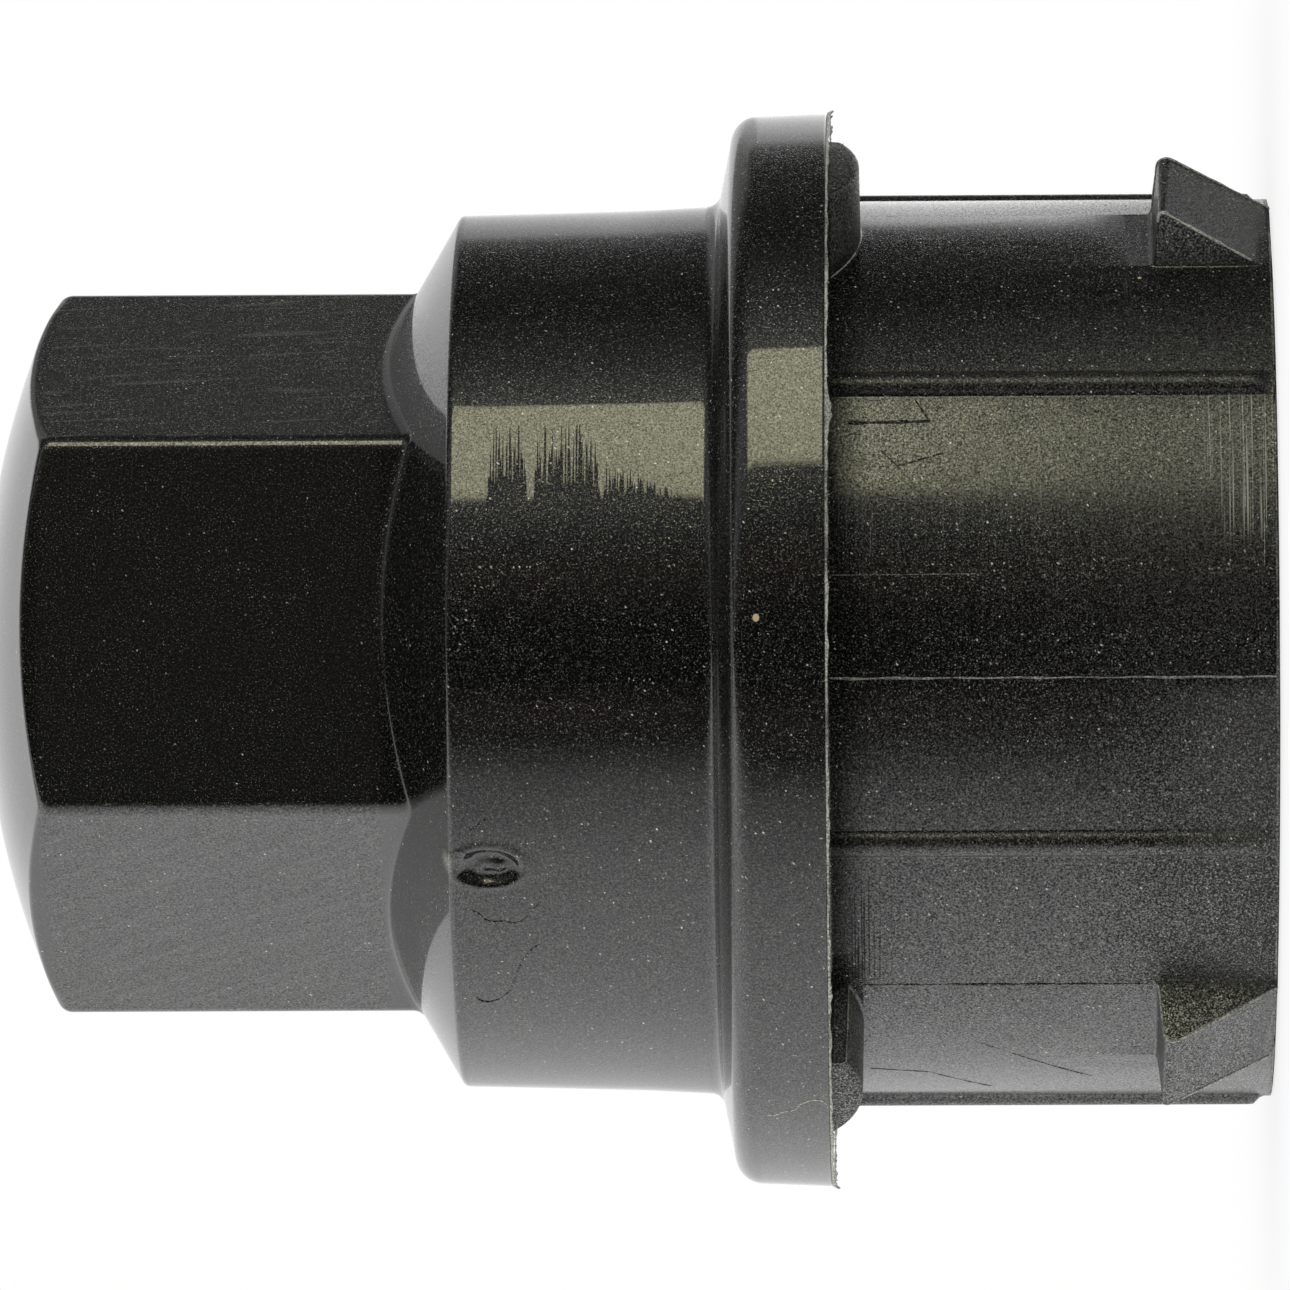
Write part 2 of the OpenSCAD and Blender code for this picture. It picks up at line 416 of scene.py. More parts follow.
def head_rows(cols):
    """Dome, hexagon and the fillet at its foot."""
    r_hex = hexagon_radius(cols.hexagon)
    near_corner = smooth(1 - np.abs(wrapped(cols.hexagon, math.pi / 3)) / rad(9))
    edge_r = 0.28 + 0.25 * near_corner
    inset = r_hex - 1.1
    shares = np.concatenate([np.linspace(0.03, 0.86, 16), [0.93]])
    dome_r = inset * shares[:, None]
    dome = xyz(dome_r, 0.0, dome_at(dome_r))
    slope = -inset / np.sqrt(DOME_R ** 2 - inset ** 2)
    edge_z = dome_at(inset) + slope * (r_hex - inset)
    wall = rounded_path(
        meridian((inset, dome_at(inset)), (r_hex, edge_z), (r_hex, shoulder_at(r_hex)),
                 (SHOULDER_SPLIT_R, shoulder_at(SHOULDER_SPLIT_R))),
        [edge_r, 0.5], [7, 6], [3, 12, 3])
    path = np.vstack([dome, wall[:-1]])
    return spin(path, cols.hexagon)


def barrel_rows(cols):
    """Shoulder's lower edge, barrel, and flange down to the edge of its underside."""
    corner_r = FLANGE_FRONT_R + 0.06
    path = rounded_path(
        meridian((np.full(cols.n, SHOULDER_SPLIT_R), shoulder_at(SHOULDER_SPLIT_R)),
                 (BARREL_TOP_R, SHOULDER_Z), (BARREL_BEND_R, BARREL_BEND_Z),
                 (BARREL_WAIST_R, BARREL_WAIST_Z), (BARREL_FOOT_R, flange_top_at(BARREL_FOOT_R)),
                 (corner_r, flange_top_at(corner_r)), (FLANGE_REAR_R, FLANGE_Z + 0.08),
                 (FLANGE_REAR_R - 0.07, FLANGE_Z)),
        [0.3, 30, 40, 0.5, 1.0, 0.05], [6, 2, 3, 7, 9, 2], [6, 24, 4, 3, 3, 4, 1])
    # The columns turn from the hexagon's layout to the plain one high on the barrel
    shoulder_n, turn_n, plain_n = 12, 16, 18
    rest_n = len(path) - shoulder_n - turn_n - plain_n
    turn = np.vstack([np.tile(cols.hexagon, (shoulder_n, 1)),
                      turning(cols.hexagon, cols.plain, turn_n),
                      np.tile(cols.plain, (plain_n, 1)),
                      turning(cols.plain, cols.lug_out, rest_n)])
    return spin(path, turn)


def lug_depths(cols):
    """How far each column of the flange's underside stands out, at a lug's outer face and root."""
    found = []
    for angles, r, middle_t, round_r, deep in (
            (cols.lug_out, LUG_R, -0.15, LUG_OUT_ROUND_R, LUG_OUT),
            (cols.lug, SKIRT_R, 0.0, LUG_ROOT_ROUND_R, LUG_ROOT_OUT)):
        depth = np.zeros(cols.n)
        for middle, part in cols.hook_slices:
            t = r * np.sin(angles[part] - rad(middle)) - middle_t
            rise = np.sqrt(np.maximum(round_r ** 2 - t ** 2, 0)) - (round_r - deep)
            depth[part] = np.maximum(rise, 0) * cols.lug_share[part]
        found.append(depth)
    return found


def underside_rows(cols):
    """Flange's underside with the lugs, down to the skirt."""
    outer, inner = lug_depths(cols)
    rib = np.full(cols.n, SKIRT_R)
    for part in cols.ribs:
        rib[part] = np.hypot(*rib_points(1.0))
    path = rounded_path(
        meridian((FLANGE_REAR_R - 0.12, FLANGE_Z), (LUG_R + 0.03, FLANGE_Z),
                 (LUG_R, FLANGE_Z - outer), (rib, FLANGE_Z - inner),
                 (rib, FLANGE_Z - UNDERSIDE_H)),
        [0.02, 0.02 + 0.22 * outer, 0.08], [1, 6, 3], [1, 4, 5, 3])
    share = np.clip((path[..., 0] - SKIRT_R) / (LUG_R - SKIRT_R), 0, 1)
    return spin(path, cols.lug + (cols.lug_out - cols.lug) * share)


def skirt_rows(cols):
    """Skirt below the lugs, ribs, hooks and the bevel at the rim."""
    z = cols.levels
    above = np.linspace(FLANGE_Z - UNDERSIDE_H, z[0], 9)[1:-1]
    below = np.array([RIM_BEVEL + 0.03, RIM_BEVEL, RIM_BEVEL / 2, 0.02])
    levels = np.concatenate([above, z[:-1]])
    angles = np.vstack([turning(cols.lug, cols.hook, 9)[1:-1],
                        np.tile(cols.hook, (len(z) - 1, 1))])
    r = np.full((len(levels), cols.n), SKIRT_R)
    for part in cols.ribs:
        middle = cols.hook[part].mean()
        for row, level in enumerate(levels):
            x, t = rib_points(smooth((level - RIB_END_Z) / RIB_TAPER))
            r[row, part] = np.hypot(x, t)
            angles[row, part] = middle + np.arctan2(t, x)
    grid = polar(r, angles, levels[:, None])
    foot = grid[-1].copy()
    foot[:, 2] = 0.0
    for middle, part in cols.hook_slices:
        sector = turned(hook_sector(HOOK_LEANS.get(middle, 0.0))[0], middle)
        grid[len(above):, part] = sector[:-1]
        foot[part, :2] = sector[-1, :, :2]
    # The last stretch to the rim's plane, bevelled
    last = grid[-1]
    rows = []
    for level in below:
        share = (level - last[:, 2:3]) / (foot[:, 2:3] - last[:, 2:3])
        row = last + (foot - last) * np.clip(share, 0, 1)
        inset = max(RIM_BEVEL - level, 0) / np.hypot(row[:, 0], row[:, 1])
        row[:, :2] *= 1 - inset[:, None]
        rows.append(row)
    return np.vstack([grid, np.array(rows)])


def inside_rows(cols):
    """Rim face, mouth, bore, inner shoulder, pocket and the dome seen from inside."""
    one = np.ones(cols.n)
    pocket_r = HEX_FLAT_R - WALL
    path = rounded_path(
        meridian((THREAD_R + MOUTH_BEVEL + 0.9 * one, 0), (THREAD_R + MOUTH_BEVEL, 0),
                 (THREAD_R, MOUTH_BEVEL), (THREAD_R, shoulder_at(THREAD_R, WALL)),
                 (pocket_r, shoulder_at(pocket_r, WALL)), (pocket_r, dome_at(pocket_r, WALL) - 0.1)),
        [0.04, 0.1, 0.5, 0.3], [2, 2, 4, 4], [2, 2, 8, 3, 5])
    r = pocket_r * np.linspace(1, 0.04, 9)[:, None] * one
    path = np.vstack([path, xyz(r, 0.0, dome_at(r, WALL))])
    return spin(path, cols.hook)


def gate_mark(grid):
    """Presses the torn gate mark into the barrel and raises its whitish tip on the shoulder. Also
    returns how pale each point is."""
    x, y, z = np.moveaxis(grid, -1, 0)
    r = np.hypot(x, y)
    across = wrapped(np.arctan2(y, x) - rad(GATE_AZIMUTH), 2 * math.pi) * BARREL_TOP_R
    along = z - GATE_Z
    outside = (r > 13.5) & (r < 15.7) & (z > 22) & (z < 30)
    reach = np.hypot(along / GATE_HALF_L, across / GATE_HALF_W)
    pit = -0.28 * smooth((1.04 - reach) / 0.42)
    floor = 0.12 * smooth(1 - np.hypot((along + 0.25) / 0.75, (across - 0.02) / 0.4))
    lip = 0.05 * np.exp(-((reach - 1.12) / 0.13) ** 2)
    crumple = 0.02 * np.sin(along * 9 + across * 5) * smooth((1.1 - reach) / 0.3)
    tip = np.exp(-(((along - 1.36) / 0.22) ** 2 + ((across - 0.05) / 0.3) ** 2) ** 2)
    push = np.where(outside, pit + floor + lip + crumple + 0.14 * tip, 0)
    grid[..., :2] *= ((r + push) / np.maximum(r, 1e-6))[..., None]
    grid[..., 2] += np.where(outside, 0.05 * tip, 0)
    return grid, np.where(outside, tip, 0)


def surface_traits(grid):
    """How rough and how grainy the moulding is at each point of the skin."""
    x, y, z = np.moveaxis(grid, -1, 0)
    azimuth = np.degrees(np.arctan2(y, x))
    r = np.hypot(x, y)
    rough = np.full(z.shape, 0.05)
    grain = np.full(z.shape, 0.35)
    # The hexagon and the dome are the smoothest
    grain[z > SHOULDER_Z + 0.2] = 0.17
    skirt = z < FLANGE_Z - 0.02
    # The skirt is coarser towards the rim, and smoother beside the creases
    past_crease = (azimuth - PARTING_CREASES[0]) % 120
    coarse = smooth(1 - z / 14)
    rough[skirt] = ((0.17 + 0.2 * coarse) * (1 - 0.5 * smooth((past_crease - 88) / 14)))[skirt]
    grain[skirt] = 0.5
    # Between the two parting lines it was made by a coarser slide of the mould, but for one place
    zone = skirt & (past_crease < PARTING_FLASHES[0] - PARTING_CREASES[0]) & (abs(azimuth) > 22)
    coarse = smooth(1 - z / 8)[zone]
    rough[zone] = 0.25 + 0.5 * coarse
    grain[zone] = 0.5 + 0.45 * coarse
    rib = skirt & (r > SKIRT_R + 0.05)
    rough[rib] = np.maximum(rough[rib], 0.42)
    proud = skirt & (r > SKIRT_R + 0.45)
    rough[proud] = np.where(z[proud] < 8, 0.38, 0.58)
    grain[proud] = 0.9
    return {"rough": rough, "grain": grain}


def build_cap():
    cols = Columns()
    outside, pale = gate_mark(np.vstack([head_rows(cols), barrel_rows(cols),
                                         underside_rows(cols), skirt_rows(cols)]))
    inside = inside_rows(cols)
    grid = np.vstack([outside, inside])
    traits = surface_traits(grid)
    traits["pale"] = np.vstack([pale, np.zeros(inside.shape[:2])])
    # A pole closes the dome, and another one its inner face
    poles = [(0.0, 0.0, CAP_H), (0.0, 0.0, CAP_H - WALL)]
    count = len(grid) * cols.n
    faces = quads(len(grid), cols.n)
    ring = [(k, (k + 1) % cols.n) for k in range(cols.n)]
    faces += [(count, a, b) for a, b in ring]
    faces += [(count - cols.n + a, count + 1, count - cols.n + b) for a, b in ring]
    traits = {key: np.append(values, np.zeros(len(poles))) for key, values in traits.items()}
    return mesh_object("cap_skin", np.vstack([grid.reshape(-1, 3), poles]), faces, traits)


# Burrs and flash: thin ragged beads along edges and parting lines

def resample(points, step):
    """Points at even steps along a line through the given ones."""
    points = np.asarray(points, float)
    lengths = np.concatenate([[0], np.cumsum(np.linalg.norm(np.diff(points, axis=0), axis=1))])
    at = np.linspace(0, lengths[-1], max(int(lengths[-1] / step), 2) + 1)
    return np.stack([np.interp(at, lengths, points[:, i]) for i in range(3)], 1)


def ragged(count, rng, spread):
    """A rough line of values around 0 to 1, with features about as long as spread points."""
    values = np.zeros(count)
    for size, weight in ((spread, 0.5), (spread / 2.3, 0.3), (spread / 5, 0.2)):
        knots = rng.random(int(count / max(size, 1)) + 3)
        values += weight * np.interp(np.arange(count) / max(size, 1), np.arange(len(knots)), knots)
    return values


def unit(vectors):
    return vectors / np.linalg.norm(vectors, axis=1, keepdims=True)


def bead(points, thick, rng, pale, sides=5, spread=5, least=0.35):
    """A tube of uneven thickness along a line, its ends closed to points."""
    points = resample(points, 0.09)
    n = len(points)
    along = unit(np.gradient(points, axis=0))
    across = unit(np.cross(along, unit(points * [1, 1, 0])))
    lift = np.cross(across, along)
    size = thick * (least + (1 - least) * ragged(n, rng, spread) * 2)
    size[0] = size[-1] = thick * 0.02
    turns = 2 * math.pi * np.arange(sides) / sides
    ring = np.cos(turns)[:, None] * across[:, None] + np.sin(turns)[:, None] * lift[:, None]
    tube = points[:, None] + ring * size[:, None, None]
    faces = [(a, d, c, b) for a, b, c, d in quads(n, sides)]
    faces += [list(range(sides))[::-1], list(range((n - 1) * sides, n * sides))]
    return tube.reshape(-1, 3), faces, np.full(n * sides, pale)


def join(name, parts):
    """One mesh object from several (points, faces, paleness)."""
    faces, start = [], 0
    for points, part_faces, _ in parts:
        faces += [[i + start for i in face] for face in part_faces]
        start += len(points)
    traits = {"pale": np.concatenate([pale for _, _, pale in parts]),
              "rough": np.full(start, 0.45), "grain": np.full(start, 0.8)}
    return mesh_object(name, np.vstack([points for points, _, _ in parts]), faces, traits)


def hook_beads(rng):
    parts = []
    for middle in HOOKS:
        _, pull, parting = hook_sector(HOOK_LEANS.get(middle, 0.0))
        for edge, first, inset, thick, pale, spread in ((pull, 9, 0.015, 0.05, 1.0, 5),
                                                        (parting, 0, 0.02, 0.06, 0.7, 9)):
            edge = edge[np.hypot(edge[:, 0], edge[:, 1]) > SKIRT_R + 0.02][first:]
            parts.append(bead(turned(edge - [inset, 0, 0], middle), thick, rng, pale, spread=spread))
    return parts


def lug_beads(rng):
    """Worn edges of the lugs: the corner of the flat side, and the foot of the round one."""
    parts = []
    for middle in HOOKS:
        side = [around(middle + LUG_TO, SKIRT_R, FLANGE_Z - 0.64),
                around(middle + LUG_OUT_TO, LUG_R, FLANGE_Z - 0.54)]
        parts.append(bead(side, 0.03, rng, 0.55))
        foot = []
        for turn in np.linspace(LUG_FROM, LUG_FROM + 7.5, 8):
            t = SKIRT_R * math.sin(rad(turn))
            deep = math.sqrt(LUG_ROOT_ROUND_R ** 2 - t ** 2) - (LUG_ROOT_ROUND_R - LUG_ROOT_OUT)
            foot.append(around(middle + turn, SKIRT_R + 0.01, FLANGE_Z - max(deep, 0)))
        parts.append(bead(foot, 0.04, rng, 0.6, spread=7))
        short = [around(middle + 2.4, LUG_R - 0.02, FLANGE_Z - 0.05),
                 around(middle + 3.2, LUG_R - 0.01, FLANGE_Z - 0.62)]
        parts.append(bead(short, 0.035, rng, 0.6, spread=3))
    return parts


def parting_beads(rng):
    """The flash on the parting lines of the skirt's slides."""
    parts = []
    for azimuth in PARTING_FLASHES:
        line = [around(azimuth + 0.05 * math.sin(3 * z), SKIRT_R - 0.005, z)
                for z in np.linspace(FLANGE_Z - 0.02, 0.05, 60)]
        parts.append(bead(line, 0.04, rng, 0.45, spread=9, least=0.02))
    for azimuth, thick in zip(PARTING_CREASES, (0.045, 0.01, 0.03)):
        line = [around(azimuth + 0.04 * math.sin(4 * z), SKIRT_R - 0.012, z)
                for z in np.linspace(FLANGE_Z - 1.1, HOOK_Z + 0.3, 50)]
        parts.append(bead(line, thick, rng, 0.0, spread=6, least=0.15))
    return parts


def flange_flash(rng):
    """The ragged flash along the flange's rear edge, its tip hanging down and out unevenly."""
    # Its section beside the edge: outward, up, whether it is the tip, and how pale it is
    section = [(-0.14, 0.03, 0, 0), (-0.05, 0.06, 0, 0.3), (-0.005, 0.03, 0, 1.0),
               (0.01, -0.01, 1, 1.0), (-0.03, -0.02, 1, 0.1), (-0.11, -0.01, 0, 0)]
    count, fall, out, swell = 1600, 0.13, 0.06, 1.3
    angle = 2 * math.pi * np.arange(count) / count
    reach = ragged(count, rng, 9) ** 2
    reach += (np.roll(reach, 1) - reach) * np.linspace(1, 0, count)
    strong = 1.0 + swell * sum(np.exp(-(wrapped(angle - rad(a), 2 * math.pi) / rad(w)) ** 2)
                               for a, w in FLASH_SWELLS)
    worn = np.clip(ragged(count, rng, 26) * 2.4 - 0.2, 0.35, 1.0)
    rows, pale = [], []
    for outward, up, tip, share in section:
        r = FLANGE_REAR_R + outward + tip * (out * reach * strong)
        z = FLANGE_Z + up - tip * (fall * reach * strong)
        rows.append(polar(r, angle, z))
        pale.append(worn * share)
    faces = quads(len(section), count, close_rows=True)
    return [(np.concatenate(rows), faces, np.concatenate(pale))]


def rim_burr(rng):
    """An uneven bead round the rim's outer edge."""
    line = [around(azimuth, SKIRT_R - 0.03, 0.1) for azimuth in range(361)]
    return [bead(line, 0.048, rng, 0.25, spread=12, least=0.1)]


def skirt_scuffs(rng):
    """Fine scratches on the skirt, as thin ridges: dark ones, and pale ones whose paleness is a
    painted highlight where they catch the light. Angle from the camera and height at both ends,
    radius and paleness."""
    marks = [(29.3, 14.6, 29.5, 11.8, 0.05, 0.0), (29.5, 11.8, 32.7, 12.3, 0.036, 0.0),
             (27.7, 14.6, 27.7, 14.1, 0.036, 0.0), (23.3, 12.9, 25.1, 11.3, 0.03, 0.0),
             (23.3, 12.9, 25.5, 13.5, 0.026, 0.0), (20.0, 14.1, 16.7, 11.0, 0.012, 0.0),
             (33.2, 8.1, 17.4, 8.05, 0.012, 0.5), (9.2, 15.2, 9.3, 10.2, 0.012, 0.35),
             (16.8, 13.8, 11.3, 13.85, 0.012, 0.4), (33.2, 2.35, 21.5, 2.3, 0.02, 0.9),
             (33.2, 1.66, 26.0, 1.6, 0.018, 0.8), (33.2, 1.2, 17.5, 1.15, 0.02, 0.9),
             (33.1, 0.88, 14.0, 0.9, 0.018, 0.7), (32.0, 0.5, 10.0, 0.52, 0.016, 0.8),
             (33.2, 2.85, 28.0, 2.85, 0.012, 0.5), (-67.3, 14.0, -68.8, 11.9, 0.02, 0.0),
             (-68.8, 11.9, -75.6, 9.7, 0.02, 0.0), (-59.7, 10.2, -62.6, 9.1, 0.02, 0.0),
             (-62.6, 9.1, -70.7, 6.3, 0.022, 0.0), (-38.9, 6.0, -38.3, 4.7, 0.022, 0.0)]
    parts = []
    for theta_a, z_a, theta_b, z_b, thick, pale in marks:
        line = [around(CAMERA_AZIMUTH + theta_a + (theta_b - theta_a) * share,
                       SKIRT_R - 0.004, z_a + (z_b - z_a) * share)
                for share in np.linspace(0, 1, 30)]
        parts.append(bead(line, thick, rng, pale, spread=4, least=0.2))
    return parts


def gate_ripples(rng):
    """Fine wavy lines that the plastic left round the gate: angles from the camera and heights."""
    lines = [[(-35.3, 27.5), (-35.6, 27.3), (-36.7, 27.05), (-37.1, 26.85), (-37.0, 26.4),
              (-37.3, 26.0), (-36.9, 25.75), (-36.0, 25.55), (-34.9, 25.35), (-33.8, 25.1)],
             [(-50.8, 27.5), (-51.7, 27.3), (-52.0, 27.0), (-51.2, 26.6), (-49.8, 26.3),
              (-47.6, 26.1), (-45.8, 26.0), (-43.8, 25.8), (-41.8, 25.5), (-40.8, 25.2)],
             [(-23.8, 27.6), (-23.1, 27.3), (-22.4, 27.1), (-21.8, 26.9)]]
    fall = (BARREL_BEND_R - BARREL_TOP_R) / (SHOULDER_Z - BARREL_BEND_Z)
    return [bead([around(CAMERA_AZIMUTH + theta, BARREL_TOP_R + (SHOULDER_Z - z) * fall, z)
                  for theta, z in line], 0.03, rng, 0.0, spread=4, least=0.3) for line in lines]


def build_burrs():
    rng = np.random.default_rng(SEED)
    parts = (flange_flash(rng) + hook_beads(rng) + lug_beads(rng) + parting_beads(rng)
             + skirt_scuffs(rng) + gate_ripples(rng) + rim_burr(rng))
    return join("burrs", parts)


def build_lint():
    """A pale curled fibre and a short one that lie on the flange: heights and angles from the
    camera."""
    rng = np.random.default_rng(SEED + 1)
    curl = [(17.6, -58.4), (17.25, -58.5), (16.9, -57.6), (16.55, -57.2), (16.35, -56.0),
            (15.95, -55.0), (15.62, -55.1), (15.42, -55.9)]
    short = [(16.45, -53.2), (16.3, -53.0), (16.22, -52.6), (16.24, -52.3)]
    parts = []
    for fibre, thick, pale in ((curl, 0.034, 1.0), (short, 0.024, 0.9)):
        line = [around(CAMERA_AZIMUTH + theta,
                       FLANGE_REAR_R - (z - FLANGE_Z) * math.tan(rad(FLANGE_DRAFT)), z)
                for z, theta in fibre]
        parts.append(bead(line, thick, rng, pale, spread=8, least=0.7))
    return join("lint", parts)


def thread_ridge():
    """The thread inside the bore: one ridge of trapezoid section, run round the bore."""
    per_turn = 96
    steps = int((THREAD_TO - THREAD_FROM) / THREAD_PITCH * per_turn)
    k = np.arange(steps + 1)
    angle = 2 * math.pi * k / per_turn
    z = THREAD_FROM + THREAD_PITCH * k / per_turn
    fade = smooth(np.minimum(k, steps - k) / (per_turn * 0.4))
    section = [(0.12, 0.86), (-THREAD_DEPTH + 0.1, 0.2), (-THREAD_DEPTH, 0.1),
               (-THREAD_DEPTH, -0.1), (-THREAD_DEPTH + 0.1, -0.2), (0.12, -0.86)]
    lines = [polar(THREAD_R + 0.06 + inward * (fade if inward < 0 else 1), angle, z + up)
             for inward, up in section]
    faces = quads(len(section), len(k), close_rows=True, close_cols=False)
    start = [line * len(k) for line in range(len(section))]
    faces += [start, [first + steps for first in reversed(start)]]
    return mesh_object("nut_thread", np.concatenate(lines), faces)


cap = build_cap()
burrs = build_burrs()
lint = build_lint()
thread = thread_ridge()


# Material

class Graph:
    """Short ways to make and join shader nodes."""

    def __init__(self, tree):
        self.tree = tree

    def node(self, kind, plugs=(), **settings):
        made = self.tree.nodes.new("ShaderNode" + kind)
        for key, value in settings.items():
            setattr(made, key, value)
        for key, value in dict(plugs).items():
            self.plug(made.inputs[key], value)
        return made

    def plug(self, socket, value):
        if isinstance(value, bpy.types.NodeSocket):
            self.tree.links.new(value, socket)
        else:
            socket.default_value = value

    def calc(self, operation, *values):
        return self.node("Math", enumerate(values), operation=operation).outputs[0]

    def times(self, a, b, plus=None):
        """a times b, and another value added to it if there is one."""
        if plus is None:
            return self.calc("MULTIPLY", a, b)
        return self.calc("MULTIPLY_ADD", a, b, plus)

    def vector(self, operation, a, b=(0, 0, 0), output="Vector"):
        second = 3 if operation == "SCALE" else 1
        return self.node("VectorMath", {0: a, second: b}, operation=operation).outputs[output]

    def ease(self, value, start, end, low=0.0, high=1.0):
        """Goes from low at start to high at end, and stays there."""
        return self.node("MapRange", {"Value": value, "From Min": start, "From Max": end,
                                      "To Min": low, "To Max": high},
                         interpolation_type="SMOOTHSTEP").outputs[0]

    def window(self, value, start, rise, end, fall):
        """1 between start and end, easing in over rise and out over fall."""
        return self.times(self.ease(value, start, start + rise), self.ease(value, end, end - fall))

    def mix(self, factor, a, b):
        return self.node("Mix", {0: factor, 6: a, 7: b}, data_type="RGBA").outputs[2]

    def combine(self, x, y, z=0.0):
        return self.node("CombineXYZ", {"X": x, "Y": y, "Z": z}).outputs[0]

    def noise(self, vector, scale, rough):
        return self.node("TexNoise", {"Vector": vector, "Scale": scale, "Detail": 1.0,
                                      "Roughness": rough}).outputs[0]

    def trait(self, name):
        return self.node("Attribute", attribute_name=name).outputs["Fac"]

    def round_axis(self, vector):
        """How far a vector goes towards the camera and the picture's top, and its angle between
        them in degrees."""
        front = self.vector("DOT_PRODUCT", vector, tuple(TOWARDS_CAMERA), "Value")
        up = self.vector("DOT_PRODUCT", vector, tuple(PICTURE_UP), "Value")
        return front, up, self.times(self.calc("ARCTAN2", up, front), 180 / math.pi)


def dust_specks(g, position, scale, size, share):
    """Small specks, some of the cells of a Voronoi pattern, of uneven size."""
    cells = g.node("TexVoronoi", {"Vector": position, "Scale": scale})
    chance = g.node("SeparateColor", {"Color": cells.outputs["Color"]})
    reach = g.times(chance.outputs[0], size, size * 0.4)
    there = g.calc("LESS_THAN", chance.outputs[1], share)
    spot = g.ease(g.calc("DIVIDE", cells.outputs["Distance"], reach), 1.0, 0.3)
    bright = g.times(chance.outputs[2], 0.75, 0.25)
    return g.times(g.times(spot, there), bright)


def hex_streaks(g, x, theta, z):
    """Streaks along the hexagon's upper face and aslant on its lower one, about zero."""
    lean = g.times(z, g.ease(theta, *LOWER_TO_UPPER, 0.28, 0.05), x)
    lines = g.noise(g.combine(g.times(lean, 6.0), g.times(z, 0.22)), 1.0, 0.6)
    # All but the face that looks at the camera
    aside = g.calc("ABSOLUTE", g.calc("SUBTRACT", theta, 5.0))
    return g.times(g.calc("SUBTRACT", lines, 0.5), g.ease(aside, 30.5, 31.5))


def feathered_normal(g, theta, z):
    """The barrel has flat streaks where the softbox's reflection ends, which draw out the
    reflection's edge in feathers, in three groups along the barrel."""
    normal = g.node("NewGeometry").outputs["Normal"]
    hairs = g.noise(g.combine(g.times(theta, 0.04), g.times(z, 11.0)), 1.0, 0.7)
    first = g.window(z, 25.4, 0.2, 26.9, 0.2)
    second = g.times(g.window(z, 22.9, 0.2, 25.3, 0.2), g.ease(z, 22.6, 23.6, 0.6, 1.0))
    third = g.times(g.window(z, 20.0, 0.3, 22.95, 0.2), g.ease(z, 20.2, 22.8, 0.2, 0.56))
    share = g.calc("MAXIMUM", g.calc("MAXIMUM", first, second), third)
    tall = g.times(g.times(share, FEATHER_REACH), g.ease(hairs, 0.3, 0.7, 0.3, 1.1))
    start = g.calc("ADD", tall, FEATHER_FROM)
    inside = g.ease(g.calc("SUBTRACT", start, theta), 0.0, 0.8)
    # As far as it takes to mirror what lies just below the softbox
    turn = g.times(g.calc("MAXIMUM", g.calc("SUBTRACT", theta, FEATHER_FROM), 0.0), math.pi / 180)
    around_axis = g.vector("NORMALIZE", g.vector("CROSS_PRODUCT", tuple(AXIS_UP), normal))
    push = g.times(g.times(turn, inside), -1.0)
    return g.vector("NORMALIZE", g.vector("ADD", normal, g.vector("SCALE", around_axis, push)))


def spots(g, theta, z):
    """Two tan specks, on the flange and on the skirt: angle from the camera, height and radius."""
    found = 0.0
    for angle, height, r in ((3.3, 17.66, 0.13), (54.0, 4.6, 0.08)):
        across = g.times(g.calc("SUBTRACT", theta, angle), rad(SKIRT_R))
        place = g.combine(across, g.calc("SUBTRACT", z, height))
        spot = g.ease(g.vector("LENGTH", place, output="Value"), r, r * 0.7)
        found = g.calc("MAXIMUM", found, spot)
    return found


BLACK = (0.0018, 0.0018, 0.0018, 1)
GREY_GRAIN = (0.042, 0.042, 0.036, 1)
DUST = (0.62, 0.61, 0.52, 1)
# Pale lines: the hexagon's streaks and rubbed lines, and a painted highlight on the skirt's lines in
# the softbox's light
RUBBED_AND_GLINT = (0.30, 0.30, 0.24, 1)
# Worn and whitened plastic, and the painted highlight of scratches that catch the light
WORN_EDGE_AND_GLINT = (0.42, 0.43, 0.36, 1)
TAN = (0.42, 0.33, 0.20, 1)

# Grains of the moulding's two patterns in a millimetre
FINE_GRAIN = 14.0
COARSE_GRAIN = 18.0
# Cells that may hold a speck in a millimetre, and the size of a speck beside that of its cell
SPECK_CELLS = 5.0
SPECK_SIZE = 0.18
# Angles between which the hexagon's lower faces pass into the upper ones
LOWER_TO_UPPER = (-30.0, -20.0)
# Where the feathers of the barrel's highlight start, and how far they reach, in degrees
FEATHER_FROM = 18.6
FEATHER_REACH = 11.0


